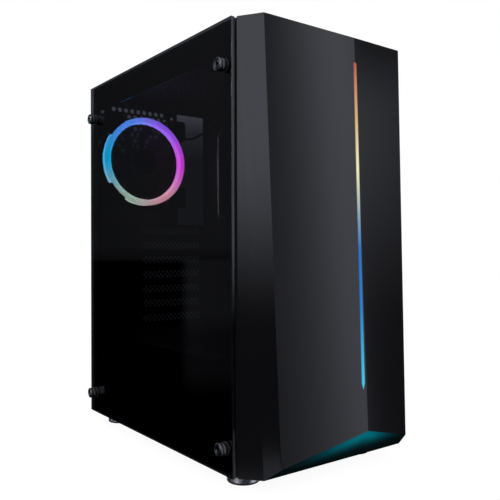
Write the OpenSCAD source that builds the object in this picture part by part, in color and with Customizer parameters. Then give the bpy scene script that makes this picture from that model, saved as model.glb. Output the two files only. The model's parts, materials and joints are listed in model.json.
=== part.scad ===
// Desktop computer tower: a glass-sided mid tower case with a faceted, lit front.
//
// Case coordinates: X runs right from the glass's outer face, Y runs back from the
// glass's front edge, and Z runs up from the underside of the body. in_frame() moves
// them to the part's origin, on the floor under the middle of the whole tower.

/* [Case] */
// Width over the two side panels
body_w = 210; // [206:1:220]
// Height of the body without its feet
body_h = 422; // [420:1:430]
// Depth of the body behind the front bezel
body_d = 324; // [322:1:340]
// Thickness of the steel sheet
sheet_t = 0.8; // [0.6:0.1:1]
// Height of the feet
foot_h = 13; // [10:1:20]

/* [Front bezel] */
// How far the top edge stands ahead of the glass
bezel_top_d = 22.4; // [18:0.1:26]
// How much further forward the lower edge stands
bezel_lean_d = 12.9; // [8:0.1:16]
// Thickness of the moulded wall
bezel_wall = 3.3; // [2.5:0.1:4]
// Width of the light strip
strip_w = 4.4; // [3:0.1:6]
// Height of the strip's lower end
strip_low = 70; // [50:1:90]
// Height of the strip's upper end
strip_high = 397; // [360:1:405]

/* [Side glass] */
// Thickness of the tempered glass
glass_t = 4; // [3:0.5:5]
// Space between the glass and the steel frame
glass_gap = 3; // [2.5:0.1:4]
// Diameter of a thumbscrew's head
screw_head_d = 12.5; // [10:0.5:15]
// How far a thumbscrew stands out of the glass
screw_head_h = 9; // [7:0.5:9]

/* [Rear fan] */
// Width of the fan's frame
fan_w = 120; // [120:1:120]
// Depth of the fan's frame
fan_t = 25; // [25:1:27]
// Distance between the fan's screw holes
fan_hole_pitch = 105; // [105:0.1:105]
// Number of fan blades
blade_count = 9; // [5:1:11]

/* [Board and cards] */
// Distance between two expansion slots
slot_pitch = 20.32; // [20.32:0.01:20.32]
// Number of expansion slots
slot_count = 7; // [4:1:7]
// Height of the standoffs under the main board
standoff_h = 6.5; // [6:0.5:8]

/* [Buttons] */
// Travel of the power button
power_travel = 2; // [1:0.1:2.5]
// Travel of the reset button
reset_travel = 1.5; // [1:0.1:2]

/* [Hidden] */
$fn = 48;

// A gap between parts that move apart, a running fit, and the thread's radius
gap = 0.4;
running = 0.05;
thread_r = 1.75;

// Steel frame
frame_x = [glass_t + glass_gap, body_w - 2 * sheet_t];
front_y = [0.6, 0.6 + sheet_t];
rear_y = [body_d - sheet_t, body_d];
rail_h = 15;
column_d = 12;
inner_y = [front_y[1], rear_y[0]];
roof_z = [body_h - sheet_t, body_h];
rail_low = [sheet_t, rail_h];
rail_high = [body_h - rail_h, roof_z[0]];
lip_low = 391;

// Main board: the tray's plane, and the rows and columns of its mounting holes
tray_x = 183;
board_rows = [400, 242.52, 118.06];
board_columns = [83.6, 155.99, 310.93];
top_rear_column = 288.07;
micro_row = 196.8;
io_window = [[132.5, 176.95], [246, 404.75]];

// Expansion slots
slot_top_z = 236.9;
slot_edge_x = 68.5;
cover_w = 18.4;
cover_hole_x = 79.6;
cover_hole_pitch = 6.5;
tab_d = 12;
screw_bay_x = [32, slot_edge_x];
screw_bay_z = [103, 247];
rear_proud = 12.2;

// Power supply space
shroud_x = 9;
shroud_z = 102;
shroud_front = 45;
shroud_right = 203;
psu_x = [29, 179];
psu_z = [8, 94];
psu_filter_mid = 105;
psu_filter_half = 57;

// Rear fan
fan_at = [71.6, 329.2];
fan_front = rear_y[0] - fan_t;
ring_r = [51.5, 59];
ring_t = 10;
fan_hub_r = 19;

// Feet
foot_r = 16.3;
foot_x = [29.5, body_w - 29.5];
foot_y = [24, 296];

// Side glass screws: front and rear, lower and upper
glass_screw_y = [11, 307];
glass_screw_z = [26, 378.5];
screw_reach = glass_t + glass_gap + 1.6;

// Front fans
front_fan_x = 100;
front_fan_z = [85, 205, 325];

// Top vent, where the filter lies
vent_x = [58, 168];
vent_y = [62, 300];
vent_sink = 3;

// Ports and buttons along the front of the roof
ports_x = [30, 166];
ports_y = [12, 38];
ports_z = [406, body_h + 0.4];
ports_mid = 25;
jack_x = [40, 52];
usb_x = [72, 92, 112];
usb_size = [13.1, 5.7];
reset_x = 128;
reset_r = 3.2;
power_x = 150;
power_r = 8;
button_proud = 1;

// Front bezel: corners of its top edge, its lower edge and its foot
bezel_back = -gap;
corner_rear_left = [frame_x[0] - 1.4, bezel_back];
corner_rear_right = [body_w - 0.2, bezel_back];
top_left = [19.8, -bezel_top_d];
top_seam = [134.9, -bezel_top_d];
top_right = [203, 1.2 - bezel_top_d];
lower_left = [27.8, 12.6];
lower_seam = [140.1, 28.4];
lower_right = [197.7, -34.1, 14.7];
foot_left = [20.8, -19.3];
foot_middle = [140, -18.6];
foot_right = [206, -18];
strip_x = 135.1;
clip_at = [for (x = [24, 186], z = [60, 210, 360]) [x, z]];
clip_r = 4;
contact_at = [170, 398];

// Height of the lower edge below the top, and how far the front plane leans over it
lean_slope = bezel_lean_d / (body_h - lower_left[1]);
lean = atan(lean_slope);
function front_plane(z) = -bezel_top_d - lean_slope * (body_h - z);

// The whole tower's middle
whole_x = [-screw_head_h, body_w];
whole_y = [front_plane(lower_left[1]), body_d + rear_proud];
middle = [(whole_x[0] + whole_x[1]) / 2, (whole_y[0] + whole_y[1]) / 2];

// Route of the fan's lead: off the frame, sagging across to the tray, then down behind it
lead_r = 1.6;
lead_route = [
    [131.6, 304, 367], [136.2, 304, 367], [145.9, 302, 368], [158, 298, 375], [170, 294, 382],
    [177, 292, 386.5], [183.4, 292, 388], [189, 292, 386], [192, 290, 380], [193, 286, 368],
    [193, 280, 350], [193, 272, 325], [193, 264, 300], [193, 257, 275], [192.5, 252, 252],
    [192, 250, 236], [192, 250, 230]
];

// Placing and drawing

module in_frame() translate([-middle[0], -middle[1], foot_h]) children();

// The two limits that lie `half` each side of a middle
function about(middle, half) = [middle - half, middle + half];

// A block between pairs of limits
module block(x, y, z)
    translate([x[0], y[0], z[0]]) cube([x[1] - x[0], y[1] - y[0], z[1] - z[0]]);

// A rectangle between pairs of limits, with round corners where a radius is given
module span(x, z, r = 0) {
    if (r == 0)
        translate([x[0], z[0]]) square([x[1] - x[0], z[1] - z[0]]);
    else {
        if (x[1] - x[0] > 2 * r) span([x[0] + r, x[1] - r], z);
        if (z[1] - z[0] > 2 * r) span(x, [z[0] + r, z[1] - r]);
        for (cx = [x[0] + r, x[1] - r], cz = [z[0] + r, z[1] - r])
            translate([cx, cz]) circle(r);
    }
}

// Outlines drawn in X and Z, in Y and Z, or in X and Y, made solid between two limits
module along_y(y) translate([0, y[1], 0]) rotate([90, 0, 0]) linear_extrude(y[1] - y[0]) children();
module along_x(x) translate([x[0], 0, 0]) rotate([90, 0, 90]) linear_extrude(x[1] - x[0]) children();
module along_z(z) translate([0, 0, z[0]]) linear_extrude(z[1] - z[0]) children();

// A rod of one radius along an axis, between two limits
module rod_x(x, at, r) along_x(x) translate(at) circle(r);
module rod_y(y, at, r) along_y(y) translate(at) circle(r);
module rod_z(z, at, r) along_z(z) translate(at) circle(r);

// The four corners of a square about a point
function square_at(at, pitch) = [for (i = [-1, 1], j = [-1, 1]) at + [i, j] * pitch / 2];

// Staggered round holes inside a rectangle with its corners cut off
module hole_field(w, h, pitch, r, reach = 1000, shift = 0, low = -1000) {
    rise = pitch * sqrt(3) / 2;
    rows = floor(h / 2 / rise);
    columns = ceil(w / 2 / pitch);
    for (row = [-rows : rows], column = [-columns : columns]) {
        x = (column + (abs(row + shift) % 2) / 2) * pitch;
        z = row * rise;
        if (abs(x) <= w / 2 && abs(x) + abs(z) <= reach && z >= low)
            translate([x, z]) circle(r, $fn = 16);
    }
}

// Steel frame

module base_pan() in_frame() color("#1c1d1f") {
    along_z([0, sheet_t]) difference() {
        span(frame_x, inner_y);
        for (x = foot_x, y = foot_y) translate([x, y]) circle(2);
        translate([psu_filter_mid, 245]) for (i = [-5 : 5], j = [-1, 1])
            translate([i * 10, j * 29]) span([-3, 3], [-26, 26], 3);
    }
    for (x = [[frame_x[0], frame_x[0] + sheet_t], [frame_x[1] - sheet_t, frame_x[1]]])
        block(x, inner_y, rail_low);
}

module rear_panel() in_frame() color("#1c1d1f") {
    along_y(rear_y) difference() {
        span(frame_x, [0, roof_z[0]]);
        span(io_window[0], io_window[1], 1);
        translate(fan_at) {
            hole_field(112, 144, 9.1, 3, reach = 108, shift = 1, low = -fan_w / 2);
            for (x = [-1, 1] * fan_hole_pitch / 2, z = [[-57, -48], [46, 70]])
                translate([x, 0]) span([-2.5, 2.5], z, 2.5);
        }
        span(screw_bay_x, screw_bay_z);
        for (i = [0 : slot_count - 1])
            translate([0, slot_top_z - i * slot_pitch]) span([73, 176], [-7.2, 7.2]);
        span([psu_x[0] + 4, psu_x[1] - 4], [psu_z[0] + 10, psu_z[1] - 10], 3);
        for (at = psu_holes()) translate(at) circle(2);
        for (z = [[14.4, 18], [body_h - 18, body_h - rail_h + 0.8]])
            span([frame_x[1] - 5, frame_x[1]], z);
        for (z = right_screw_z) translate([right_screw_x, z]) circle(thread_r + running);
        translate(cover_screw_at) circle(1.5);
    }
    block([slot_edge_x, slot_edge_x + sheet_t], [body_d, body_d + tab_d - 1], screw_bay_z);
    column([rear_y[0] - column_d, rear_y[0]], glass_screw_y[1]);
}

// The folded left edge of the rear panel or front frame, with a widened ear at each screw
module column(y, screw_y) {
    x = [frame_x[0], frame_x[0] + sheet_t];
    along_x(x) difference() {
        union() {
            span(y, [rail_h, body_h - rail_h]);
            for (z = glass_screw_z)
                span([min(y[0], screw_y - 8), max(y[1], screw_y + 8)], [z - 9, z + 9]);
        }
        for (z = glass_screw_z) translate([screw_y, z]) circle(3);
    }
}

// Screw holes of a standard power supply, of which one is moved in from its corner
function psu_holes() = [for (at = [[6, 80], [144, 80], [144, 16], [30, 6]]) at + [psu_x[0], psu_z[0]]];

module motherboard_tray() in_frame() color("#202124") {
    along_x([tray_x, tray_x + sheet_t]) difference() {
        span([20, rear_y[0]], [shroud_z, roof_z[0]]);
        span([150, 295], [258, 375], 6);
        for (z = [[146, 165], [211, 230]]) span([293, 297], z, 1.8);
        for (z = [[128, 208], [252, 332]]) span([40, 64], z, 8);
        for (y = [[60, 110], [180, 230]]) span(y, [406, 416], 4);
        span([170, 226], [106, 112], 2.5);
        translate([292, 388]) circle(5);
        for (at = board_holes()) translate(at) circle(thread_r);
    }
    block([tray_x + sheet_t, tray_x + 8], [20, 20 + sheet_t], [shroud_z, roof_z[0]]);
}

// Mounting holes of a main board as [y, z]; the upper rear one stands forward of its column
function board_holes() = concat(
    [for (y = board_columns, z = board_rows) if (y != board_columns[2] || z != board_rows[0]) [y, z]],
    [[top_rear_column, board_rows[0]], [board_columns[2], micro_row]]
);

module front_frame() in_frame() color("#1c1d1f") {
    along_y(front_y) difference() {
        span(frame_x, [0, roof_z[0]]);
        for (z = front_fan_z) translate([front_fan_x, z]) {
            circle(57, $fn = 96);
            for (at = square_at([0, 0], fan_hole_pitch)) translate(at) circle(2.2);
        }
        for (at = clip_at) translate(at) circle(clip_r);
        translate(contact_at) span([-8, 8], [-4, 4]);
    }
    column([front_y[1], front_y[1] + column_d + 6], glass_screw_y[0]);
    block([frame_x[1] - sheet_t, frame_x[1]], [front_y[1], front_y[1] + column_d], [rail_h, body_h - rail_h]);
}

module top_panel() in_frame() color("#1c1d1f") {
    floor_z = [roof_z[0] - vent_sink, roof_z[1] - vent_sink];
    along_z(roof_z) difference() {
        span(frame_x, [front_y[0], body_d]);
        span(vent_x, vent_y);
        span(ports_x, ports_y);
    }
    along_z([floor_z[0], roof_z[0]]) difference() {
        span(vent_x - [sheet_t, -sheet_t], vent_y - [sheet_t, -sheet_t]);
        span(vent_x, vent_y);
    }
    along_z(floor_z) difference() {
        span(vent_x, vent_y);
        translate([(vent_x[0] + vent_x[1]) / 2, (vent_y[0] + vent_y[1]) / 2])
            hole_field(94, 224, 7.4, 2.5);
    }
    for (x = [[frame_x[0], frame_x[0] + sheet_t], [frame_x[1] - sheet_t, frame_x[1]]])
        block(x, inner_y, rail_high);
    // The lip that hangs from the left rail, just inside it
    along_x([frame_x[0] + sheet_t, frame_x[0] + 2 * sheet_t]) difference() {
        span(inner_y, [lip_low, roof_z[0]]);
        span([50, 65], [396, 400], 1.5);
    }
}

module psu_shroud() in_frame() color("#1a1b1d") {
    along_z([shroud_z - sheet_t, shroud_z]) difference() {
        span([shroud_x, shroud_right], [shroud_front, rear_y[0]]);
        span([158, 174], [70, 130], 5);
        translate([90, 100]) for (i = [-4 : 4]) translate([i * 11, 0]) span([-3, 3], [-34, 34], 3);
    }
    block([shroud_x, shroud_x + sheet_t], [shroud_front, rear_y[0]], [sheet_t, shroud_z - sheet_t]);
    under = shroud_z - sheet_t;
    block([shroud_x + sheet_t, shroud_right], [shroud_front, shroud_front + sheet_t], [under - 12, under]);
    block([shroud_right - 8, shroud_right], [shroud_front, shroud_front + sheet_t], [sheet_t, under - 12]);
    block([shroud_right - sheet_t, shroud_right], [shroud_front + sheet_t, rear_y[0]], [under - 6, under]);
}

// Two bays for drives 101.6 wide, open towards the right side
module drive_cage() in_frame() color("#232427") {
    x = [34, 178];
    y = [56, 158.4];
    z = [sheet_t, 64];
    for (side = [[y[0] - sheet_t, y[0]], [y[1], y[1] + sheet_t]])
        along_y(side) difference() {
            span(x, z);
            for (dz = [10.3, 41.3], dx = [0, 101.6]) translate([x[0] + 24 + dx, sheet_t + dz]) circle(1.8);
        }
    block(x, [y[0] - sheet_t, y[1] + sheet_t], [z[1], z[1] + sheet_t]);
    for (side = [[y[0], y[0] + 5], [y[1] - 5, y[1]]])
        block(x, side, [31, 31 + sheet_t]);
}

module ssd_bracket() in_frame() color("#232427") {
    x = tray_x + 3;
    along_x([x, x + sheet_t]) difference() {
        span([72, 148], [126, 232], 3);
        for (y = [110 - 61.72 / 2, 110 + 61.72 / 2], z = [179 - 76.6 / 2, 179 + 76.6 / 2])
            translate([y, z]) circle(1.6);
        span([92, 128], [158, 200], 4);
    }
    for (y = [76, 144], z = [130, 228]) rod_x([tray_x + sheet_t, x], [y, z], 3);
}

// Expansion slots

// One perforated blanking plate, with its screw tab bent outwards
module slot_cover() {
    along_y([rear_y[0] - sheet_t, rear_y[0]]) difference() {
        span([slot_edge_x - sheet_t, 178], [-cover_w / 2, cover_w / 2]);
        for (row = [-1 : 1], i = [0 : 13])
            translate([cover_hole_x + (i + abs(row) / 2) * cover_hole_pitch, row * cover_hole_pitch / 2])
                circle(1.6, $fn = 16);
    }
    along_x([slot_edge_x - sheet_t, slot_edge_x]) difference() {
        span([rear_y[0], body_d + tab_d - 1], [-cover_w / 2, cover_w / 2]);
        translate([body_d + 6, 0]) circle(1.8);
    }
}

module each_slot() for (i = [0 : slot_count - 1]) translate([0, 0, slot_top_z - i * slot_pitch]) children();

module slot_covers() in_frame() color("#26282b") each_slot() slot_cover();

module slot_screws() in_frame() color("#b9bcc0") each_slot() {
    rod_x([slot_edge_x - sheet_t - 2.4, slot_edge_x - sheet_t], [body_d + 6, 0], 3.2);
    rod_x([slot_edge_x - sheet_t, slot_edge_x], [body_d + 6, 0], 1.5);
}

cover_screw_at = [24, 175];

// The lid over the row of slot screws, outside the rear panel
module slot_screw_cover() in_frame() color("#1c1d1f") {
    x = [30, 72];
    z = [100, 250];
    y = [body_d, body_d + rear_proud];
    difference() {
        block(x, y, z);
        block([x[0] + sheet_t, x[1] - sheet_t], [y[0] - 1, y[1] - sheet_t], [z[0] + sheet_t, z[1] - sheet_t]);
        for (i = [1 : 9]) translate([0, 0, z[0] + 15 * i])
            block([x[0] + 8, x[1] - 8], [y[1] - sheet_t / 2, y[1] + 1], [0, 3]);
    }
    along_y([y[0], y[0] + sheet_t]) difference() {
        span([18, x[0]], [cover_screw_at[1] - 9, cover_screw_at[1] + 9]);
        translate(cover_screw_at) circle(1.8);
    }
}

module cover_screw() in_frame() color("#b9bcc0") {
    rod_y([body_d + sheet_t, body_d + sheet_t + 2.4], cover_screw_at, 3.4);
    rod_y([rear_y[0] - 3, body_d + sheet_t], cover_screw_at, 1.5);
}

module board_standoffs() in_frame() color("#c9a24a")
    for (at = board_holes()) {
        difference() {
            along_x([tray_x - standoff_h, tray_x]) translate(at) circle(3, $fn = 6);
            rod_x([tray_x - standoff_h - 1, tray_x - 1.5], at, 1.45);
        }
        rod_x([tray_x, tray_x + 2], at, thread_r);
    }

// Feet and pads

module psu_pads() in_frame() color("#303236")
    for (x = [34, 164], y = [176, 300])
        block([x, x + 10], [y, y + 16], [sheet_t, psu_z[0]]);

module at_feet() for (x = foot_x, y = foot_y) translate([x, y, 0]) children();

module feet() in_frame() color("#17181a") at_feet()
    rotate_extrude() polygon([[2, -10], [13.4, -10], [13.4, -2.4], [15.4, 0], [2, 0]]);

module foot_rings() in_frame() color("#d4d6d9") at_feet()
    rotate_extrude() polygon([
        [13.4, -11], [15.2, -11], [foot_r, -9.4], [foot_r, -3.4], [15.6, -2.4], [13.4, -2.4]
    ]);

module foot_pads() in_frame() color("#101113") at_feet()
    rotate_extrude() polygon([
        [0, -foot_h], [15.4, -foot_h], [16, -12.4], [15.4, -11], [12.6, -11], [12.6, -10], [0, -10]
    ]);

module foot_screws() in_frame() color("#b9bcc0") at_feet() {
    rod_z([sheet_t, sheet_t + 2.2], [0, 0], 4);
    rod_z([-9, sheet_t], [0, 0], 2);
}

// Threaded bosses that the glass's thumbscrews go into
module panel_standoffs() in_frame() color("#2b2d30")
    for (y = glass_screw_y, z = glass_screw_z) translate([0, y, z]) difference() {
        union() {
            rod_x([glass_t + 1.3, frame_x[0]], [0, 0], 5.5);
            rod_x([frame_x[0], frame_x[0] + sheet_t], [0, 0], 3);
            rod_x([frame_x[0] + sheet_t, screw_reach + 0.2], [0, 0], 4.2);
        }
        rod_x([0, 20], [0, 0], thread_r + running);
    }

// Runners that hold the power supply's dust filter under the base
module filter_rails() in_frame() color("#1c1d1f") {
    inner = psu_filter_half + gap;
    for (side = [0, 1]) translate([psu_filter_mid, 0, 0]) mirror([side, 0, 0]) {
        block([inner, inner + 1.2], [176, body_d], [-4, 0]);
        block([inner - 5, inner], [176, body_d], [-4, -3.2]);
    }
}

// Rear fan

module at_fan() translate([fan_at[0], 0, fan_at[1]]) children();

module fan_frame() in_frame() color("#151618") at_fan() {
    along_y([fan_front + ring_t, rear_y[0]]) difference() {
        union() {
            circle(fan_w / 2, $fn = 96);
            fan_corners();
        }
        circle(57.5, $fn = 96);
        fan_corner_holes();
    }
    along_y([fan_front, fan_front + ring_t]) difference() {
        fan_corners();
        circle(ring_r[1] + running, $fn = 96);
        fan_corner_holes();
    }
}

module fan_corners() {
    side = [[-fan_w / 2, -32], [32, fan_w / 2]];
    for (x = side, z = side) span(x, z, 4);
}

module fan_corner_holes() for (at = square_at([0, 0], fan_hole_pitch)) translate(at) circle(2.15);

module fan_light_ring() in_frame() color("#b070ff") at_fan()
    along_y([fan_front, fan_front + ring_t]) difference() {
        circle(ring_r[1], $fn = 96);
        circle(ring_r[0], $fn = 96);
    }

// Motor mount on four arms, with the coil's body and the tube that holds the bearing
module fan_stator() in_frame() color("#151618") at_fan() {
    along_y([rear_y[0] - 3, rear_y[0]]) difference() {
        union() {
            circle(fan_hub_r);
            intersection() {
                circle(57.5, $fn = 96);
                for (a = [45, 135]) rotate(a) square([130, 5], center = true);
            }
        }
        circle(3);
    }
    along_y([rear_y[0] - 16, rear_y[0] - 3]) difference() {
        circle(11);
        circle(3);
    }
}

module fan_bearing() in_frame() color("#c9a24a") at_fan()
    along_y([rear_y[0] - 16, rear_y[0]]) difference() {
        circle(3);
        circle(1.5 + running);
    }

module fan_shaft() in_frame() color("#c4c7cb") at_fan()
    rod_y([rear_y[0] - 18.6, rear_y[0] - 1], [0, 0], 1.5);

module fan_rotor() in_frame() color("#1b1c1f") at_fan() {
    cup_y = [rear_y[0] - 21, rear_y[0] - 5];
    along_y([cup_y[0], cup_y[0] + 2.4]) circle(fan_hub_r);
    along_y([cup_y[0] + 2.4, cup_y[1]]) difference() {
        circle(fan_hub_r);
        circle(fan_hub_r - 2);
    }
    for (i = [0 : blade_count - 1]) rotate([0, i * 360 / blade_count, 0])
        intersection() {
            translate([0, (cup_y[0] + cup_y[1]) / 2, fan_hub_r - 1]) rotate([0, 0, 38])
                translate([-13.5, -0.8, 0]) cube([27, 1.6, 40]);
            along_y([cup_y[0] + 0.5, cup_y[1] - 0.5]) difference() {
                circle(50, $fn = 96);
                circle(fan_hub_r - 0.2);
            }
        }
}

module fan_screws() in_frame() color("#b9bcc0") at_fan()
    for (at = square_at([0, 0], fan_hole_pitch)) {
        rod_y([body_d, body_d + 2.6], at, 4.2);
        rod_y([rear_y[0] - 9, body_d], at, 2.1);
    }

// A round lead swept along its route, one ring of points for each point of the route
function unit(v) = v / norm(v);
function way(p, i) = unit(p[min(i + 1, len(p) - 1)] - p[max(i - 1, 0)]);
module swept(p, r, sides = 8) {
    rings = [for (i = [0 : len(p) - 1]) let (d = way(p, i), u = unit(cross(d, [0.3, 1, 0.2])), v = cross(d, u))
        for (k = [0 : sides - 1]) p[i] + r * (u * cos(k * 360 / sides) + v * sin(k * 360 / sides))];
    last = (len(p) - 1) * sides;
    polyhedron(rings, concat(
        [[for (k = [0 : sides - 1]) k]],
        [for (i = [0 : len(p) - 2], k = [0 : sides - 1]) let (a = i * sides + k, b = i * sides + (k + 1) % sides)
            [a, a + sides, b + sides, b]],
        [[for (k = [0 : sides - 1]) last + sides - 1 - k]]));
}

module fan_cable() in_frame() color("#0f1012") swept(lead_route, lead_r);

// Hub behind the tray that feeds the fan's ring and the front strip
module light_hub() in_frame() color("#1d1e21") difference() {
    block([tray_x + sheet_t, tray_x + 14], [222, 278], [188, 230]);
    for (y = [230, 242, 254, 266]) block([tray_x + 11, tray_x + 15], [y, y + 8], [200, 216]);
}

// Ports and buttons

module io_housing() in_frame() color("#141517") difference() {
    block(ports_x, ports_y, ports_z);
    block(ports_x + [2, -2], ports_y + [2, -2], [ports_z[0] - 1, ports_z[1] - 3]);
    for (x = usb_x) block(about(x, usb_size[0] / 2), about(ports_mid, usb_size[1] / 2), [400, 430]);
    for (x = jack_x) rod_z([400, 430], [x, ports_mid], 4);
    rod_z([400, 430], [power_x, ports_mid], power_r + 0.1);
    rod_z([400, 430], [reset_x, ports_mid], reset_r + 0.1);
}

module io_board() in_frame() color("#1d5b3a")
    block(ports_x + [2, -2], ports_y + [2, -2], [ports_z[0] - 1.6, ports_z[0]]);

module button_switches() in_frame() color("#8d9096")
    for (b = [[power_x, power_travel], [reset_x, reset_travel]]) {
        top = ports_z[1] - 10 - b[1] - 0.1;
        block(about(b[0], 3), about(ports_mid, 3), [ports_z[0], ports_z[0] + 3]);
        rod_z([ports_z[0] + 3, top], [b[0], ports_mid], 1.6);
    }

module usb_sockets() in_frame() color("#c4c7cb") for (x = usb_x) difference() {
    block(about(x, usb_size[0] / 2), about(ports_mid, usb_size[1] / 2), ports_z);
    block(about(x, 6.25), about(ports_mid, 2.55), [ports_z[0] + 3, ports_z[1] + 1]);
}

module usb_tongues() in_frame() color("#1f57b8") for (x = usb_x)
    block(about(x, 5.5), about(ports_mid + 1.45, 0.9), [ports_z[0] + 3, ports_z[1] - 1]);

module audio_jacks() in_frame() color("#2b2d30") for (x = jack_x) translate([x, ports_mid, 0]) difference() {
    rod_z(ports_z, [0, 0], 4);
    rod_z([ports_z[1] - 14, ports_z[1] + 1], [0, 0], 1.8);
}

module power_button() in_frame() color("#2e3135") {
    rod_z([ports_z[1] - 4, body_h + button_proud], [power_x, ports_mid], power_r);
    rod_z([ports_z[1] - 10, ports_z[1] - 4], [power_x, ports_mid], 2.5);
}

module reset_button() in_frame() color("#2e3135") {
    rod_z([ports_z[1] - 4, body_h + button_proud], [reset_x, ports_mid], reset_r);
    rod_z([ports_z[1] - 10, ports_z[1] - 4], [reset_x, ports_mid], 1.6);
}

// Socket behind the front frame that the bezel's contact pins press on
module front_contact() in_frame() color("#303236") {
    translate([contact_at[0], 0, contact_at[1]]) {
        block([-10, 10], [front_y[1], 9], [-6, 6]);
        block([-8, 8], [front_y[0] + 0.1, front_y[1]], [-4, 4]);
    }
}

// Side glass

module glass_panel() in_frame() color("#30343a", 0.5)
    along_x([0, glass_t]) difference() {
        span([0, body_d], [0, body_h], 2);
        for (y = glass_screw_y, z = glass_screw_z) translate([y, z]) circle(4.5);
    }

// Rubber grommets in the glass's holes, under each thumbscrew
module glass_grommets() in_frame() color("#101113")
    for (y = glass_screw_y, z = glass_screw_z) translate([0, y, z]) difference() {
        union() {
            rod_x([-1, 0], [0, 0], 6.4);
            rod_x([0, glass_t], [0, 0], 4.5);
            rod_x([glass_t, glass_t + 0.9], [0, 0], 6.4);
        }
        rod_x([-2, glass_t + 2], [0, 0], thread_r + 0.1);
    }

// Thumbscrew along X: a grooved head with a socket in its face, and a shank
module thumbscrew(reach) {
    r = screw_head_d / 2;
    difference() {
        union() {
            rod_x([-screw_head_h, -2.6], [0, 0], r);
            rod_x([-2.6, -1], [0, 0], r - 1.2);
        }
        rod_x([-screw_head_h - 1, -screw_head_h + 2.5], [0, 0], 2.6);
    }
    rod_x([-1, reach], [0, 0], thread_r);
}

module glass_screw(i, j) in_frame() color("#232528")
    translate([0, glass_screw_y[i], glass_screw_z[j]]) thumbscrew(screw_reach);

module thumbscrew_front_upper() glass_screw(0, 1);
module thumbscrew_front_lower() glass_screw(0, 0);
module thumbscrew_rear_upper() glass_screw(1, 1);
module thumbscrew_rear_lower() glass_screw(1, 0);

// Right side panel: it slides back, with lips that run under the roof's and over the base's rail
right_screw_x = 201;
right_screw_z = [130, 336];
ear_y = [body_d + gap, body_d + gap + sheet_t];

module right_panel() in_frame() color("#1c1d1f") {
    sheet = [body_w - sheet_t, body_w];
    block(sheet, [0.4, ear_y[1]], [0.6, body_h - 0.6]);
    for (z = [rail_h + 0.8, body_h - rail_h - 0.8 - sheet_t])
        block([frame_x[1] - 4, sheet[0]], [front_y[1] + column_d + 0.8, rear_y[0] - 2], [z, z + sheet_t]);
    along_y(ear_y) difference() {
        span([right_screw_x - 6, sheet[0]], [0.6, body_h - 0.6]);
        for (z = right_screw_z) translate([right_screw_x, z]) circle(2.2);
    }
}

module right_screw(z) in_frame() color("#232528")
    translate([right_screw_x, ear_y[1] - 1, z]) rotate([0, 0, -90]) thumbscrew(4);

module right_screw_upper() right_screw(right_screw_z[1]);
module right_screw_lower() right_screw(right_screw_z[0]);

// Front bezel

bezel_points = [
    [corner_rear_left[0], corner_rear_left[1], body_h],
    [top_left[0], top_left[1], body_h],
    [top_seam[0], top_seam[1], body_h],
    [top_right[0], top_right[1], body_h],
    [corner_rear_right[0], corner_rear_right[1], body_h],
    [corner_rear_left[0], corner_rear_left[1], 0],
    [foot_left[0], foot_left[1], 0],
    [lower_left[0], front_plane(lower_left[1]), lower_left[1]],
    [lower_seam[0], front_plane(lower_seam[1]), lower_seam[1]],
    lower_right,
    [foot_right[0], foot_right[1], 0],
    [corner_rear_right[0], corner_rear_right[1], 0],
    [foot_middle[0], foot_middle[1], 0]
];

// The four faces under the front, which run back and down from the lower edge
underside = [[7, 8, 12], [7, 12, 6], [8, 9, 10], [8, 10, 12]];

module bezel_outside() polyhedron(bezel_points, concat([
    [4, 3, 2, 1, 0], [5, 6, 12, 10, 11], [4, 0, 5, 11],
    [0, 1, 7], [0, 7, 6], [0, 6, 5], [1, 2, 8, 7], [2, 3, 9], [2, 9, 8],
    [3, 4, 11], [3, 11, 10], [3, 10, 9]
], underside));

// The room behind the front face, down to the underside, and the lower room behind that
module bezel_inside() {
    hull() for (z = [body_h - bezel_wall, 36]) {
        side = 0.6 * (-front_plane(z) - bezel_wall);
        translate([0, 0, z - 0.01]) linear_extrude(0.01) polygon([
            [frame_x[0] + 3.6, 1],
            [frame_x[0] + 3.6 + side, front_plane(z) + bezel_wall],
            [strip_x + 6, front_plane(z) + bezel_wall],
            [corner_rear_right[0] - 3.8 - 0.35 * side / 0.6, front_plane(z) + bezel_wall + 1.4],
            [corner_rear_right[0] - 3.8, 1]
        ]);
    }
    block([19, body_w - 13], [-13, 1], [bezel_wall, 37]);
}

// Points of the underside and their copies set into the wall
panel_ids = [7, 8, 9, 10, 12, 6];
panel_sink = [0, 1.8, 1.4];

module underglow_panel() in_frame() color("#0b8f93") underglow_solid();

module underglow_solid() {
    outer = [for (i = panel_ids) bezel_points[i]];
    inner = [for (p = outer) p + panel_sink];
    skin = [[0, 1, 4], [0, 4, 5], [1, 2, 3], [1, 3, 4]];
    back = [for (f = skin) [f[2] + 6, f[1] + 6, f[0] + 6]];
    rim = [for (i = [0 : 5]) let (j = (i + 1) % 6) for (f = [[j, i, i + 6], [j, i + 6, j + 6]]) f];
    polyhedron(concat(outer, inner), concat(skin, back, rim));
}

// Drawn on the front face: X across, Y into the wall, Z up along the face from its top edge
module on_front() translate([0, -bezel_top_d, body_h]) rotate([-lean, 0, 0]) children();
function along_front(z) = (z - body_h) / cos(lean);

strip_x_span = about(strip_x, strip_w / 2);
strip_z_span = [along_front(strip_low), along_front(strip_high)];
wall_depth = bezel_wall * cos(lean);
strip_point = 6;

// The strip's shape on the front face: pointed at its lower end and rounded at its top
module strip_outline() hull() {
    translate([strip_x, strip_z_span[1] - strip_w / 2]) circle(strip_w / 2);
    polygon([
        [strip_x_span[0], strip_z_span[0] + strip_point], [strip_x, strip_z_span[0]],
        [strip_x_span[1], strip_z_span[0] + strip_point]
    ]);
}

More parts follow.
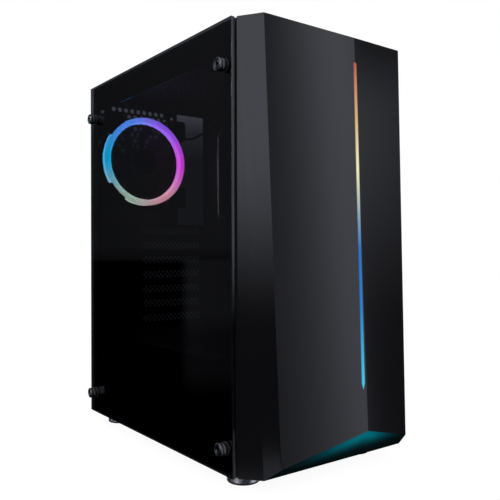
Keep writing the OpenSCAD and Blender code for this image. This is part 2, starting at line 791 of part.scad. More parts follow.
module front_bezel() in_frame() color("#2a2c2f") difference() {
    union() {
        difference() {
            bezel_outside();
            bezel_inside();
        }
        intersection() {
            bezel_outside();
            union() {
                for (at = clip_at) rod_y([-40, bezel_back], at, 6);
                translate([contact_at[0], 0, contact_at[1]]) block([-8, 8], [-40, -4], [-5, 5]);
            }
        }
    }
    underglow_solid();
    on_front() along_y([-1, wall_depth + 1]) strip_outline();
}

module light_diffuser() in_frame() color("#ffd27a") on_front() {
    along_y([0, wall_depth]) strip_outline();
    block(strip_x_span + [-3, 3], [wall_depth, wall_depth + 1.2], strip_z_span + [-3, 3]);
}

module light_bar_board() in_frame() color("#e8e8e4") on_front() {
    block(strip_x_span + [-2, 2], [wall_depth + 3.2, wall_depth + 4.6], strip_z_span);
    for (i = [0 : 19])
        translate([strip_x, 0, strip_z_span[0] + 8 + i * (strip_z_span[1] - strip_z_span[0] - 16) / 19])
            block([-2.5, 2.5], [wall_depth + 1.2, wall_depth + 3.2], [-2.5, 2.5]);
}

module bezel_clips() in_frame() color("#101113")
    for (at = clip_at) rod_y([bezel_back, 6], at, clip_r - running - 0.02);

module bezel_contact() in_frame() color("#c9a24a") translate([contact_at[0], 0, contact_at[1]]) {
    block([-7, 7], [-4, bezel_back], [-3, 3]);
    for (i = [-2 : 2]) rod_y([bezel_back, 0.3], [i * 2.5, 0], 0.8);
}

// Dust filters

filter_x = vent_x + [0.5, -0.5];
filter_y = vent_y + [0.5, -0.5];
filter_z = [body_h - vent_sink + 0.3, body_h - 0.2];

module top_filter_frame() in_frame() color("#101113") along_z(filter_z) difference() {
    span(filter_x, filter_y);
    span(filter_x + [7, -7], filter_y + [7, -7]);
}

module top_filter_mesh() in_frame() color("#1c1d1f")
    block(filter_x + [7, -7], filter_y + [7, -7], [filter_z[0] + 0.6, filter_z[0] + 1.2]);

psu_filter_x = about(psu_filter_mid, psu_filter_half);
psu_filter_y = [178, body_d + 8];
psu_filter_z = [-2.9, -0.4];

module psu_filter_frame() in_frame() color("#101113") {
    along_z(psu_filter_z) difference() {
        span(psu_filter_x, psu_filter_y);
        span(psu_filter_x + [8, -8], [186, 312]);
    }
    block([85, 125], [body_d + 6, body_d + 8], [-8, psu_filter_z[0]]);
}

module psu_filter_mesh() in_frame() color("#1c1d1f")
    block(psu_filter_x + [8, -8], [186, 312], [-2, -1.4]);

base_pan();
rear_panel();
motherboard_tray();
front_frame();
top_panel();
psu_shroud();
drive_cage();
ssd_bracket();
slot_covers();
slot_screws();
slot_screw_cover();
cover_screw();
board_standoffs();
psu_pads();
feet();
foot_rings();
foot_pads();
foot_screws();
panel_standoffs();
filter_rails();
fan_frame();
fan_light_ring();
fan_stator();
fan_bearing();
fan_screws();
fan_cable();
light_hub();
io_housing();
io_board();
button_switches();
usb_sockets();
usb_tongues();
audio_jacks();
front_contact();
glass_panel();
glass_grommets();
thumbscrew_front_upper();
thumbscrew_front_lower();
thumbscrew_rear_upper();
thumbscrew_rear_lower();
right_panel();
right_screw_upper();
right_screw_lower();
front_bezel();
light_diffuser();
light_bar_board();
underglow_panel();
bezel_clips();
bezel_contact();
power_button();
reset_button();
fan_rotor();
fan_shaft();
top_filter_frame();
top_filter_mesh();
psu_filter_frame();
psu_filter_mesh();
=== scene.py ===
"""Looks for a glass-sided desktop computer tower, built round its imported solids."""
import json
import math

import bmesh
import bpy
import numpy as np
from mathutils import Euler, Matrix, Vector


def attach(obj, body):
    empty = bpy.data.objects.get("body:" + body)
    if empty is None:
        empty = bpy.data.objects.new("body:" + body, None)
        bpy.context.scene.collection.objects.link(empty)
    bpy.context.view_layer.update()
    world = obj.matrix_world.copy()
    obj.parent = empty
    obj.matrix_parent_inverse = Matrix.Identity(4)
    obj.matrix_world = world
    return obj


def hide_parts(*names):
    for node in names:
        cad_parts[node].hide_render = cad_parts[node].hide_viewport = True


MM = 0.001
# Case coordinates, in which the source is written, start at this point of the shared frame
CASE_ORIGIN = np.array([-100.5, -150.45, 13.0])
# Sizes that several pieces share, in case millimetres
BODY_H = 422
BODY_D = 324
GLASS_T = 4
GLASS_SCREW_Y = {"front": 11, "rear": 307}
GLASS_SCREW_Z = {"upper": 378.5, "lower": 26}
# The left face of the tray that a main board would stand on
TRAY_X = 183

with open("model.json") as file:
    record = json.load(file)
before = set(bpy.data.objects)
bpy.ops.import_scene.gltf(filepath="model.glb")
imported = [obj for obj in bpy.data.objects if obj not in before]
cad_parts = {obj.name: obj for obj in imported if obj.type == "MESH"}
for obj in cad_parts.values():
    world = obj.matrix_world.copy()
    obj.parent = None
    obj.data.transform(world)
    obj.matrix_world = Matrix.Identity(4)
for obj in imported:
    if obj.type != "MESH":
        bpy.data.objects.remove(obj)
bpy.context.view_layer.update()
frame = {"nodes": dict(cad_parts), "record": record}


def case(x, y, z):
    """A point given in case millimetres, as metres in the shared frame."""
    return (np.array([x, y, z], float) + CASE_ORIGIN) * MM


# ---------------------------------------------------------------- camera

LENS = 45.5704
SENSOR_W = 36
# In case millimetres, and in degrees about X, Y and Z
CAMERA_AT = (-329.722, -470.001, 206.588)
CAMERA_TURN = (90.1818, 0.1563, -36.6677)

camera_data = bpy.data.cameras.new("camera")
camera_data.lens = LENS
camera_data.sensor_width = SENSOR_W
camera = bpy.data.objects.new("camera", camera_data)
bpy.context.scene.collection.objects.link(camera)
camera_turn = Euler([math.radians(angle) for angle in CAMERA_TURN])
camera.matrix_world = Matrix.LocRotScale(Vector(case(*CAMERA_AT)), camera_turn, None)
bpy.context.scene.camera = camera
bpy.context.scene.view_settings.view_transform = "Standard"


# ---------------------------------------------------------------- shader groups

GROUP_SOCKETS = {"value": "NodeSocketFloat", "colour": "NodeSocketColor", "vector": "NodeSocketVector"}


class Nodes:
    """Adds nodes to one tree; a number, colour or socket may feed any input."""

    def __init__(self, tree):
        self.tree = tree

    def add(self, kind, settings=(), **inputs):
        node = self.tree.nodes.new(kind)
        for key, value in dict(settings).items():
            setattr(node, key, value)
        for key, value in inputs.items():
            socket = node.inputs[int(key[1:])] if key[0] == "i" and key[1:].isdigit() else node.inputs[key]
            if isinstance(value, bpy.types.NodeSocket):
                self.tree.links.new(value, socket)
            else:
                socket.default_value = value
        return node

    def math(self, operation, a, b=0.0, c=0.0):
        return self.add("ShaderNodeMath", {"operation": operation}, i0=a, i1=b, i2=c).outputs[0]

    def remap(self, value, low, high, new_low=0.0, new_high=1.0):
        node = self.add("ShaderNodeMapRange", {}, i0=value, i1=low, i2=high, i3=new_low, i4=new_high)
        return node.outputs[0]

    def mix(self, factor, a, b):
        node = self.add("ShaderNodeMix", {"data_type": "RGBA"}, i0=factor, i6=a, i7=b)
        return node.outputs[2]

    def noise(self, vector, scale, detail=2.0, roughness=0.5):
        node = self.add(
            "ShaderNodeTexNoise", {}, Vector=vector, Scale=scale, Detail=detail, Roughness=roughness)
        return node.outputs[0]

    def place(self):
        return self.add("ShaderNodeTexCoord").outputs["Object"]


def group(name, takes, gives, build):
    """A shader node group: takes and gives list (socket name, kind, default); build wires its inside."""
    tree = bpy.data.node_groups.new(name, "ShaderNodeTree")
    for direction, sockets in (("INPUT", takes), ("OUTPUT", gives)):
        for label, kind, *default in sockets:
            socket = tree.interface.new_socket(label, in_out=direction, socket_type=GROUP_SOCKETS[kind])
            if default:
                socket.default_value = default[0]
    source, sink = tree.nodes.new("NodeGroupInput"), tree.nodes.new("NodeGroupOutput")
    results = build(Nodes(tree), source.outputs)
    for label, socket in results.items():
        tree.links.new(socket, sink.inputs[label])
    return tree


def grain(n, given):
    """Fine pits and bumps of a moulded or powder-coated skin, with a slow drift of shade under them."""
    place = n.place()
    pits = n.noise(place, given["Grain scale"], 3.0, 0.6)
    drift = n.noise(place, 14.0, 3.0)
    low = n.mix(0.5, given["Colour"], given["Dark"])
    shade = n.mix(n.remap(drift, 0.3, 0.7), low, given["Colour"])
    wander = n.math("MULTIPLY", n.math("SUBTRACT", drift, 0.5), given["Drift"])
    rough = n.math("ADD", given["Roughness"], wander)
    return {"Colour": shade, "Roughness": rough, "Height": pits}


GRAIN = group(
    "coated_grain",
    [("Colour", "colour"), ("Dark", "colour"), ("Grain scale", "value", 2600.0),
     ("Roughness", "value", 0.45), ("Drift", "value", 0.12)],
    [("Colour", "colour"), ("Roughness", "value"), ("Height", "value")],
    grain,
)


def hairlines(n, given):
    """Long fine scratches along one axis, from noise stretched along it."""
    stretched = n.add("ShaderNodeMapping", {}, Vector=n.place(), Scale=given["Stretch"]).outputs[0]
    lines = n.noise(stretched, given["Line scale"], 2.0, 0.7)
    shade = n.mix(n.remap(lines, 0.3, 0.7), given["Dark"], given["Colour"])
    rough = n.remap(lines, 0.25, 0.75, 0.14, 0.3)
    return {"Colour": shade, "Roughness": rough, "Height": lines}


HAIRLINES = group(
    "hairlines",
    [("Colour", "colour"), ("Dark", "colour"), ("Stretch", "vector"), ("Line scale", "value", 1500.0)],
    [("Colour", "colour"), ("Roughness", "value"), ("Height", "value")],
    hairlines,
)


def woven(n, given):
    """A square mesh of fine threads: its mask is 1 on a thread and 0 in a gap."""
    place = n.add("ShaderNodeSeparateXYZ", {}, Vector=n.place())
    waves = [n.math("ABSOLUTE", n.math("SINE", n.math("MULTIPLY", place.outputs[k], given["Threads"])))
             for k in (0, 1)]
    highest = n.math("MAXIMUM", *[n.math("SUBTRACT", 1.0, w) for w in waves])
    return {"Mask": n.math("GREATER_THAN", highest, given["Gap"]), "Height": highest}


WOVEN = group(
    "woven_mesh",
    [("Threads", "value", 2600.0), ("Gap", "value", 0.4)],
    [("Mask", "value"), ("Height", "value")],
    woven,
)


# ---------------------------------------------------------------- materials

def new_material(name):
    material = bpy.data.materials.new(name)
    material.use_nodes = True
    material.node_tree.nodes.clear()
    return material, Nodes(material.node_tree)


def finish_material(n, bump=None, bump_distance=0.00004, bump_strength=0.5, **inputs):
    """Ends a material in one Principled shader, with a Bump node where a height is given."""
    if bump is not None:
        inputs["Normal"] = n.add(
            "ShaderNodeBump", {}, Height=bump, Strength=bump_strength, Distance=bump_distance
        ).outputs[0]
    shader = n.add("ShaderNodeBsdfPrincipled", {}, **inputs)
    output = n.add("ShaderNodeOutputMaterial")
    n.tree.links.new(shader.outputs[0], output.inputs[0])


def rgb(r, g, b):
    return (r, g, b, 1.0)


def coated(name, colour, dark, roughness=0.45, scale=2600.0, depth=0.00003, metallic=0.0, specular=0.5,
           drift=0.12):
    """Powder coat, paint or moulded plastic, from the grain group."""
    material, n = new_material(name)
    g = n.add("ShaderNodeGroup", {"node_tree": GRAIN}, **{
        "Colour": colour, "Dark": dark, "Grain scale": scale, "Roughness": roughness, "Drift": drift})
    finish_material(n, g.outputs["Height"], depth, **{
        "Base Color": g.outputs["Colour"], "Roughness": g.outputs["Roughness"], "Metallic": metallic,
        "Specular IOR Level": specular})
    return material


def bare_metal(name, colour, dark, stretch=(1, 1, 30), scale=900.0):
    """Drawn or turned metal, from the hairline group."""
    material, n = new_material(name)
    g = n.add("ShaderNodeGroup", {"node_tree": HAIRLINES}, **{
        "Colour": colour, "Dark": dark, "Stretch": stretch, "Line scale": scale})
    finish_material(n, g.outputs["Height"], 0.00002, **{
        "Base Color": g.outputs["Colour"], "Roughness": g.outputs["Roughness"], "Metallic": 1.0})
    return material


black_steel = coated("black_steel", rgb(0.020, 0.020, 0.023), rgb(0.012, 0.012, 0.014), 0.6, specular=0.2)
dark_steel = coated("dark_steel", rgb(0.026, 0.027, 0.03), rgb(0.016, 0.016, 0.018), 0.55, specular=0.2)
slot_steel = coated("slot_steel", rgb(0.035, 0.036, 0.04), rgb(0.02, 0.02, 0.022), 0.4)
black_plastic = coated("black_plastic", rgb(0.010, 0.010, 0.0115), rgb(0.006, 0.006, 0.007), 0.6, 1800.0,
                       specular=0.2)
black_rubber = coated("black_rubber", rgb(0.012, 0.012, 0.012), rgb(0.007, 0.007, 0.007), 0.75, 3400.0)
screw_black = coated("screw_black", rgb(0.13, 0.13, 0.135), rgb(0.07, 0.07, 0.075), 0.15, 3000.0,
                     metallic=1.0)
bezel_plastic = coated("bezel_plastic", rgb(0.0052, 0.0052, 0.0062), rgb(0.0042, 0.0042, 0.0050), 0.1, 4200.0,
                       depth=0.000001, drift=0.02)
circuit_green = coated("circuit_green", rgb(0.02, 0.09, 0.045), rgb(0.012, 0.06, 0.03), 0.35, 900.0)
circuit_white = coated("circuit_white", rgb(0.72, 0.72, 0.7), rgb(0.62, 0.62, 0.6), 0.4, 900.0)
port_blue = coated("port_blue", rgb(0.02, 0.09, 0.42), rgb(0.015, 0.07, 0.34), 0.35, 1500.0)
bright_steel = bare_metal("bright_steel", rgb(0.62, 0.63, 0.66), rgb(0.48, 0.49, 0.52))
brass = bare_metal("brass", rgb(0.80, 0.60, 0.28), rgb(0.62, 0.44, 0.2))
foot_silver = bare_metal("foot_silver", rgb(0.86, 0.87, 0.89), rgb(0.72, 0.73, 0.76), (1, 1, 12), 700.0)


def tinted_glass():
    """Smoked glass that lets about a twentieth of the light through."""
    material, n = new_material("tinted_glass")
    finish_material(n, **{
        "Base Color": rgb(0.050, 0.051, 0.058), "Roughness": 0.0, "IOR": 1.5,
        "Transmission Weight": 1.0})
    return material


def filter_cloth():
    """Black woven dust mesh: its gaps are open."""
    material, n = new_material("filter_black")
    g = n.add("ShaderNodeGroup", {"node_tree": WOVEN}, **{"Threads": 2600.0, "Gap": 0.35})
    # Painted shade: the threads are darker towards their sides, where they dip towards the gaps.
    shade = n.mix(g.outputs["Height"], rgb(0.01, 0.01, 0.011), rgb(0.03, 0.03, 0.032))
    finish_material(n, g.outputs["Height"], 0.0001, **{
        "Base Color": shade, "Roughness": 0.7, "Alpha": g.outputs["Mask"]})
    return material


glass = tinted_glass()
filter_black = filter_cloth()


def lit(name, colour_socket, body_colour, strength, roughness=0.5, specular=0.5):
    """A lit diffuser, or a surface with painted light on it: its light comes from a colour that varies over
    the piece.
    """
    material, n = new_material(name)
    finish_material(n, **{
        "Base Color": body_colour, "Roughness": roughness, "Specular IOR Level": specular,
        "Emission Color": colour_socket(n), "Emission Strength": strength})
    return material


def from_attribute(n):
    """The colour that the piece's own points carry."""
    return n.add("ShaderNodeAttribute", {"attribute_name": "light"}).outputs["Color"]


ring_light = lit("ring_light", from_attribute, rgb(0.4, 0.4, 0.42), 16.0)
strip_light = lit("strip_light", from_attribute, rgb(0.02, 0.02, 0.02), 1.0, specular=0.2)


# The teal here is painted light: the glow that LEDs cast on the bezel's painted underside, drawn as emission
# on this piece.
def glow(n):
    """Teal that is strongest just under the middle of the bezel's lower edge. With u the share of the way
    from that edge down to the base, and d the distance to the side of the middle over its reach there, it
    falls as exp(-((u - 0.12) / 0.31)^2 - d^2)."""
    slope_left, slope_right = 0.1407, -0.238
    reach_left, reach_right = -0.051, 0.026
    place = n.add("ShaderNodeSeparateXYZ", {}, Vector=n.place())
    x_middle, _, z_edge = case(140, 0, 28.4)
    z_base = case(0, 0, 0)[2]
    side = n.math("SUBTRACT", place.outputs[0], x_middle)
    edge = n.math("MINIMUM", n.math("MULTIPLY", side, slope_left), n.math("MULTIPLY", side, slope_right))
    edge = n.math("ADD", edge, z_edge)
    down = n.math("DIVIDE", n.math("SUBTRACT", edge, place.outputs[2]), n.math("SUBTRACT", edge, z_base))
    down = n.math("DIVIDE", n.math("SUBTRACT", down, 0.12), 0.31)
    away = n.math("MAXIMUM", n.math("DIVIDE", side, reach_left), n.math("DIVIDE", side, reach_right))
    share = n.math("EXPONENT", n.math("MULTIPLY", n.math(
        "ADD", n.math("MULTIPLY", down, down), n.math("MULTIPLY", away, away)), -1.0))
    return n.mix(share, rgb(0.0, 0.0018, 0.0022), rgb(0.0, 0.135, 0.175))


# The underside's teal glow is painted light, given to the piece as emission.
glow_light = lit("glow_light", glow, rgb(0.002, 0.003, 0.003), 1.0, 0.7, 0.02)

FINISH = {
    "black_steel": black_steel, "dark_steel": dark_steel, "slot_steel": slot_steel,
    "bright_steel": bright_steel, "brass": brass, "tinted_glass": glass, "black_rubber": black_rubber,
    "black_plastic": black_plastic, "bezel_plastic": bezel_plastic, "screw_black": screw_black,
    "foot_silver": foot_silver, "circuit_green": circuit_green, "circuit_white": circuit_white,
    "port_blue": port_blue, "filter_black": filter_black, "lead_black": black_rubber,
    "ring_light": ring_light, "strip_light": strip_light, "glow_light": glow_light,
}
for part in frame["record"]["subparts"]:
    node = frame["nodes"][part["node"]]
    node.data.materials.clear()
    node.data.materials.append(FINISH[part["material_slot"]])


# ---------------------------------------------------------------- surfaces

def grid_faces(rows, columns, round_rows=False, round_columns=False):
    """Quads over a rows by columns grid of points, closed on itself where a direction goes round."""
    i, j = np.meshgrid(np.arange(rows - (not round_rows)), np.arange(columns - (not round_columns)),
                       indexing="ij")
    i2, j2 = (i + 1) % rows, (j + 1) % columns
    quads = [i * columns + j, i * columns + j2, i2 * columns + j2, i2 * columns + j]
    return np.stack(quads, -1).reshape(-1, 4)


def piece(name, points, faces, body, slot, replaces=(), light=None, flat_across=None):
    """A mesh from arrays of points in metres and of faces, riding on a body. light gives each point its
    own colour of light. Faces square to the axis numbered flat_across keep one plain normal each, so that
    a big pane stays a true mirror."""
    mesh = bpy.data.meshes.new(name)
    mesh.from_pydata(np.asarray(points, float).tolist(), [], [list(map(int, f)) for f in faces])
    if light is not None:
        colours = mesh.attributes.new("light", "FLOAT_COLOR", "POINT")
        colours.data.foreach_set("color", np.c_[light, np.ones(len(light))].astype(np.float32).ravel())
    closing = bmesh.new()
    closing.from_mesh(mesh)
    bmesh.ops.remove_doubles(closing, verts=closing.verts, dist=1e-7)
    closing.to_mesh(mesh)
    closing.free()
    mesh.validate()
    mesh.set_sharp_from_angle(angle=math.radians(35))
    if flat_across is not None:
        normals = np.empty(len(mesh.polygons) * 3)
        mesh.polygons.foreach_get("normal", normals)
        mesh.polygons.foreach_set("use_smooth", np.abs(normals.reshape(-1, 3)[:, flat_across]) < 0.999)
    mesh.update()
    mesh.materials.append(FINISH[slot])
    obj = bpy.data.objects.new(name, mesh)
    bpy.context.scene.collection.objects.link(obj)
    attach(obj, body)
    if replaces:
        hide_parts(*replaces)


def turned(profile, steps, swell=None, closed=False):
    """A surface of revolution about local X: row (x, r) of the profile becomes the circle
    (x, r cos a, r sin a), with r first multiplied by swell(a, row) where that is given."""
    profile = np.asarray(profile, float)
    row, turn = np.meshgrid(np.arange(len(profile)), np.arange(steps) * 2 * math.pi / steps, indexing="ij")
    r = profile[row, 1] * (1 if swell is None else swell(turn, row))
    points = np.stack([profile[row, 0], r * np.cos(turn), r * np.sin(turn)], -1).reshape(-1, 3)
    return points, grid_faces(len(profile), steps, round_rows=closed, round_columns=True)


def placed(points, origin, x_to, y_to):
    """Millimetre points set down at an origin, with local X and Y along the two given directions."""
    x_to, y_to = np.array(x_to, float), np.array(y_to, float)
    return np.asarray(points) * MM @ np.stack([x_to, y_to, np.cross(x_to, y_to)]) + origin


def joined(shapes):
    """Several (points, faces) shapes as one."""
    starts = np.cumsum([0] + [len(points) for points, _ in shapes[:-1]])
    return (np.concatenate([points for points, _ in shapes]),
            np.concatenate([faces + start for (_, faces), start in zip(shapes, starts)]))


def rounded(corners, radii, steps=4):
    """A profile whose corners are rounded: each corner gives way to a quadratic curve that
    starts and ends its radius away along the two sides that meet there."""
    corners = np.asarray(corners, float)
    line = []
    for k, (corner, radius) in enumerate(zip(corners, radii)):
        if radius == 0:
            line.append(corner)
            continue
        before, after = corners[k - 1] - corner, corners[(k + 1) % len(corners)] - corner
        start = corner + before / np.linalg.norm(before) * radius
        end = corner + after / np.linalg.norm(after) * radius
        u = np.linspace(0, 1, steps)[:, None]
        line.extend((1 - u) ** 2 * start + 2 * u * (1 - u) * corner + u ** 2 * end)
    return np.array(line)


# ---------------------------------------------------------------- glass panel

def ground_plate(name, width, height, corner, holes, thickness, bevel):
    """A glass plate: a rounded rectangle with round holes, drawn flat, thickened, and ground back by a
    bevel on every edge. Each corner is a quarter circle, and each hole a full one."""
    curve = bpy.data.curves.new(name, "CURVE")
    curve.dimensions = "2D"
    curve.fill_mode = "BOTH"
    curve.extrude = (thickness / 2 - bevel) * MM
    curve.bevel_depth = bevel * MM
    curve.bevel_resolution = 3
    quarter = np.linspace(0, math.pi / 2, 9)
    centres = [(width - corner, height - corner), (corner, height - corner), (corner, corner),
               (width - corner, corner)]
    outline = np.concatenate([
        np.c_[x + (corner - bevel) * np.cos(quarter + k * math.pi / 2),
              y + (corner - bevel) * np.sin(quarter + k * math.pi / 2)]
        for k, (x, y) in enumerate(centres)])
    full = np.arange(64) * 2 * math.pi / 64
    circles = [np.c_[x + (r + bevel) * np.cos(full), y + (r + bevel) * np.sin(full)] for x, y, r in holes]
    for line in [outline, *circles]:
        spline = curve.splines.new("POLY")
        spline.points.add(len(line) - 1)
        spline.points.foreach_set("co", np.c_[line * MM, np.zeros(len(line)), np.ones(len(line))].ravel())
        spline.use_cyclic_u = True
    flat = bpy.data.objects.new(name, curve)
    mesh = bpy.data.meshes.new_from_object(flat)
    points = np.empty(len(mesh.vertices) * 3)
    mesh.vertices.foreach_get("co", points)
    faces = [list(face.vertices) for face in mesh.polygons]
    bpy.data.objects.remove(flat)
    return points.reshape(-1, 3) / MM, faces


def glass_panel():
    hole_r = 4.5
    holes = [(y, z, hole_r) for y in GLASS_SCREW_Y.values() for z in sorted(GLASS_SCREW_Z.values())]
    points, faces = ground_plate("glass", BODY_D, BODY_H, corner=2, holes=holes, thickness=GLASS_T, bevel=0.7)
    points = np.stack([GLASS_T / 2 + points[:, 2], points[:, 0], points[:, 1]], -1)
    piece("glass_panel_ground", (points + CASE_ORIGIN) * MM, faces, "side_glass", "tinted_glass",
          ["glass_panel"], flat_across=0)


glass_panel()


# ---------------------------------------------------------------- screws

# Rows of a thumbscrew's head, from the floor of its socket out and over to where the shank leaves it:
# distance along the axis, radius, 1 where the row is a hexagon, share of the knurl's full depth
HEAD = np.array([
    [-6.4, 0, 1, 0], [-6.4, 2.5, 1, 0], [-8.7, 2.5, 1, 0], [-9.0, 2.85, 0.5, 0],
    [-9.0, 4.2, 0, 0], [-8.75, 4.4, 0, 0], [-8.75, 4.8, 0, 0], [-9.0, 5.0, 0, 0], [-9.0, 5.5, 0, 0],
    [-8.9, 5.75, 0, 0.3], [-8.6, 6.12, 0, 0.7], [-8.35, 6.25, 0, 1], [-6.5, 6.25, 0, 1], [-6.3, 6.12, 0, 0.7],
    [-6.15, 5.7, 0, 0], [-5.75, 5.7, 0, 0], [-5.6, 6.12, 0, 0.7], [-5.4, 6.25, 0, 1],
    [-3.2, 6.25, 0, 1], [-2.95, 6.12, 0, 0.7], [-2.6, 5.5, 0, 0], [-2.55, 5.05, 0, 0], [-1.0, 5.05, 0, 0],
    [-1.0, 1.75, 0, 0]])


def hexagon(turn):
    """How far a hexagon stands out at an angle, as a share of the circle round its corners: it is
    cos 30 / cos(a' - 30), with a' the angle within its sixth."""
    return math.cos(math.pi / 6) / np.cos(turn % (math.pi / 3) - math.pi / 6)


def thumbscrew(reach):
    """A knurled head with a hexagon socket, and a shank whose radius rises and falls with its pitch.
    The knurl is r (1 - 0.035 |sin 21 a|)."""
    pitch = 0.7
    along = np.arange(-0.9, reach, pitch / 4)
    thread = np.stack([along, 1.62 + 0.12 * np.cos(2 * math.pi * along / pitch)], -1)
    rows = np.concatenate([HEAD, np.c_[thread, np.zeros((len(thread), 2))],
                           [[reach, 1.4, 0, 0], [reach, 0, 0, 0]]])

    def swell(turn, row):
        socket = 1 + rows[row, 2] * (hexagon(turn) - 1)
        return socket * (1 - 0.035 * rows[row, 3] * np.abs(np.sin(21 * turn)))

    return turned(rows[:, :2], 252, swell)


def glass_screws():
    for end, y in GLASS_SCREW_Y.items():
        for level, z in GLASS_SCREW_Z.items():
            name = end + "_" + level
            points, faces = thumbscrew(8.6)
            points = placed(points, case(0, y, z), (1, 0, 0), (0, 1, 0))
            piece("thumbscrew_" + name + "_turned", points, faces, "screw_" + name, "screw_black",
                  ["thumbscrew_" + name])


def right_panel_screws():
    for level, z in (("upper", 336), ("lower", 130)):
        points, faces = thumbscrew(4)
        points = placed(points, case(201, BODY_D + 0.2, z), (0, -1, 0), (1, 0, 0))
        piece("right_screw_" + level + "_turned", points, faces, "right_" + level + "_screw", "screw_black",
              ["right_screw_" + level])


glass_screws()
right_panel_screws()


# ---------------------------------------------------------------- feet

FOOT_AT = [(x, y) for x in (29.5, 180.5) for y in (24, 296)]


def foot_rings():
    """A bright band round each foot, chamfered at both ends."""
    profile = rounded(
        [[-12.1, 13.4], [-12.1, 15.7], [-11.3, 16.3], [-3.4, 16.3], [-2.4, 15.6], [-2.4, 13.4]],
        [0.3, 0.4, 0.6, 0.6, 0.4, 0.3], 5)
    ring, faces = turned(profile, 128, closed=True)
    points, faces = joined([(placed(ring, case(x, y, 0), (0, 0, 1), (1, 0, 0)), faces) for x, y in FOOT_AT])
    piece("foot_ring_spun", points, faces, "chassis", "foot_silver", ["foot_rings"])


foot_rings()


# ---------------------------------------------------------------- rims and standoffs

def round_rectangle(y, z, r, steps=8):
    """Points round a rectangle with quarter-circle corners, and the outward direction at each."""
    quarter = np.linspace(0, math.pi / 2, steps)
    turn = np.concatenate([quarter + k * math.pi / 2 for k in range(4)])
    centres = [(y[1] - r, z[1] - r), (y[0] + r, z[1] - r), (y[0] + r, z[0] + r), (y[1] - r, z[0] + r)]
    middle = np.repeat(centres, steps, 0)
    out = np.stack([np.cos(turn), np.sin(turn)], -1)
    return middle + r * out, out


def pressed_rim(x, y, z, r, width=7.5, height=1.2):
    """The raised rim of a hole in a sheet that faces left: it stands highest at the hole and falls
    outwards as h (1 - s^2), with s running from the hole outwards."""
    line, out = round_rectangle(y, z, r)
    s = np.linspace(0, 1, 11)
    rise = np.concatenate([height * (1 - s ** 2), [-0.3, -0.3]])
    reach = np.concatenate([s * width - 0.5, [width - 0.5, -0.5]])
    yz = line[:, None] + reach[None, :, None] * out[:, None]
    points = np.concatenate([x - rise[None, :, None] + 0 * yz[..., :1], yz], -1)
    return points.reshape(-1, 3), grid_faces(len(line), len(reach), round_rows=True, round_columns=True)


def tray_rim():
    points, faces = pressed_rim(TRAY_X, (156.5, 288.5), (258, 375), 5)
    piece("tray_rim_pressed", (points + CASE_ORIGIN) * MM, faces, "chassis", "bright_steel")


tray_rim()

# Main board holes as case Y and Z: the rear upper one stands forward of its column
BOARD_Y = (83.6, 155.99, 310.93)
BOARD_Z = (400, 242.52, 118.06)
STANDOFFS = [(y, z) for y in BOARD_Y for z in BOARD_Z if (y, z) != (BOARD_Y[2], BOARD_Z[0])]
STANDOFFS += [(288.07, BOARD_Z[0]), (BOARD_Y[2], 196.8)]


def standoff():
    """A hexagonal pillar with a domed, bored top and a round stem. The dome rises from the pillar's radius
    R to 0.9 at its bore's radius b, as 0.9 (1 - (r / R)^2) / (1 - (b / R)^2). The third number of a row is
    1 where it is a hexagon and 0 where it is round."""
    pillar_r, bore_r, shoulder = 3, 1.45, -5.5
    r = np.linspace(pillar_r, bore_r, 6)
    dome = shoulder - 0.9 * (1 - (r / pillar_r) ** 2) / (1 - (bore_r / pillar_r) ** 2)
    rows = np.concatenate([
        [[2, 0, 0], [2, 1.5, 0], [0, 1.5, 0], [0, pillar_r, 1], [shoulder, pillar_r, 1]],
        np.stack([dome, r, np.linspace(0.8, 0, 6)], -1),
        [[-1.5, bore_r, 0], [-1.5, 0, 0]]])

    def swell(turn, row):
        return 1 + rows[row, 2] * (hexagon(turn) - 1)

    return turned(rows[:, :2], 48, swell)


def board_standoffs():
    pillar, faces = standoff()
    points, faces = joined([(placed(pillar, case(TRAY_X, y, z), (1, 0, 0), (0, 1, 0)), faces[:, ::-1])
                            for y, z in STANDOFFS])
    piece("board_standoffs_turned", points, faces, "chassis", "brass", ["board_standoffs"])


board_standoffs()


# ---------------------------------------------------------------- fan

FAN_AT = (71.6, 329.2)
HUB_R = 19
BLADES = 9
RING_R = (51.5, 59)
RING_Y = (298.2, 308.2)


def blade(number):
    """One blade as loops of an aerofoil from root to tip. At radius r the chord stands at pitch p, falling
    from 47 to 29 degrees; a point at share c of the chord L lies at arc L (c - 1/2) cos p round the
    axis and L (c - 1/2) sin p along it, moved across the chord by camber 4 k c (1 - c) and by half the
    thickness, sqrt(sin pi c). Along the axis all of it is flattened to 0.9, the whole section swings
    forward by 0.34 u^2 towards the tip, and the tip is closed."""
    u, v = np.meshgrid(np.linspace(0, 1, 25), np.arange(36) * 2 * math.pi / 36, indexing="ij")
    root_r, tip_r = HUB_R - 0.6, 49.6
    r = root_r + u * (tip_r - root_r)
    pitch = np.radians(47 - 18 * u)
    chord = 14.2 / np.sin(pitch)
    c = 0.5 - 0.5 * np.cos(v)
    half = np.sign(np.sin(v)) * (0.95 - 0.4 * u) * np.sqrt(np.clip(np.sin(math.pi * c), 0, None))
    half = half * np.clip((1 - u) / 0.02, 0, 1)
    rise = 1.9 * 4 * c * (1 - c) + half
    around = chord * (c - 0.5) * np.cos(pitch) - rise * np.sin(pitch)
    along = 310.2 + (chord * (c - 0.5) * np.sin(pitch) + rise * np.cos(pitch)) * 0.9
    turn = number * 2 * math.pi / BLADES + around / r + 0.34 * u ** 2 - 0.1
    points = np.stack([r * np.sin(turn), along, r * np.cos(turn)], -1).reshape(-1, 3)
    return points, grid_faces(25, 36, round_columns=True)[:, ::-1]


